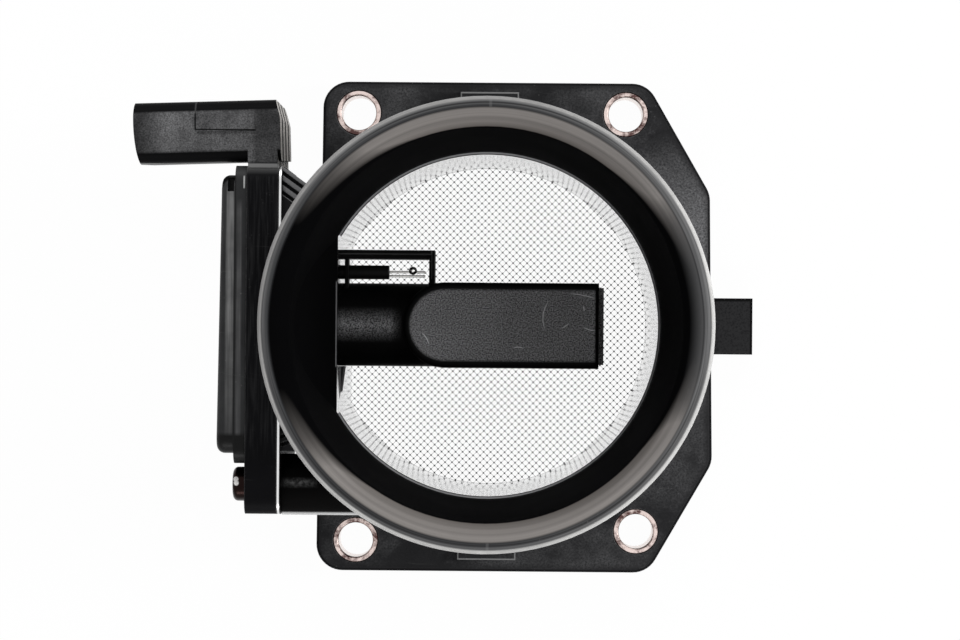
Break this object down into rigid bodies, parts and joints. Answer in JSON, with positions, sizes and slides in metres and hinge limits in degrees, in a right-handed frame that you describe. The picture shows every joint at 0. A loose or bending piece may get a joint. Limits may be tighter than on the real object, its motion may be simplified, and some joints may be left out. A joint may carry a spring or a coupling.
{
  "type": "mass airflow sensor",
  "caption": "Air meter body with a square mounting flange, an inlet screen, a bypass arm across the bore, a round hose mouth and a side electronics module with a connector.",
  "frame": {"origin": "on the bore axis at the flange's back face, where the air box's neck enters", "axes": "+Z along the bore from the flange to the hose mouth; +X from the electronics module across the bore to the flange's tab; +Y towards the connector's end of the module"},
  "size_m": [0.1219, 0.1014, 0.084],
  "materials": {
    "body_plastic": "satin black, fine grain",
    "arm_plastic": "fine-grained black",
    "ring_plastic": "plain black",
    "case_plastic": "satin black",
    "cover_plastic": "satin black",
    "carrier_plastic": "plain black",
    "stem_plastic": "satin black",
    "screen_wire": "drawn wire",
    "plate_metal": "bright cut edge",
    "board": "green lacquer",
    "chips": "black moulding",
    "seal_rubber": "plain black",
    "post_wire": "bright wire",
    "element_ceramic": "glazed",
    "lead_wire": "bright wire",
    "bead_glass": "dark glassy bead",
    "bushing_metal": "dull pinkish plating",
    "screw_metal": "dark brown plating",
    "terminal_metal": "tinned"
  },
  "bodies": {
    "root": {"air_temp_stem": "stem_plastic", "base_plate": "plate_metal", "board_chips": "chips", "bypass_arm": "arm_plastic", "bypass_cover": "arm_plastic", "carrier_o_ring": "seal_rubber", "circuit_board": "board", "cold_element": "element_ceramic", "connector_terminal_1": "terminal_metal", "connector_terminal_2": "terminal_metal", "connector_terminal_3": "terminal_metal", "connector_terminal_4": "terminal_metal", "connector_terminal_5": "terminal_metal", "element_posts": "post_wire", "flange_bushing_lower_left": "bushing_metal", "flange_bushing_lower_right": "bushing_metal", "flange_bushing_upper_left": "bushing_metal", "flange_bushing_upper_right": "bushing_metal", "hot_element": "element_ceramic", "inlet_screen": "screen_wire", "main_body": "body_plastic", "module_case": "case_plastic", "module_cover": "cover_plastic", "module_screw_lower": "screw_metal", "module_screw_upper": "screw_metal", "screen_retaining_ring": "ring_plastic", "sensor_carrier": "carrier_plastic", "thermistor_bead": "bead_glass", "thermistor_leads": "lead_wire"}
  },
  "joints": []
}
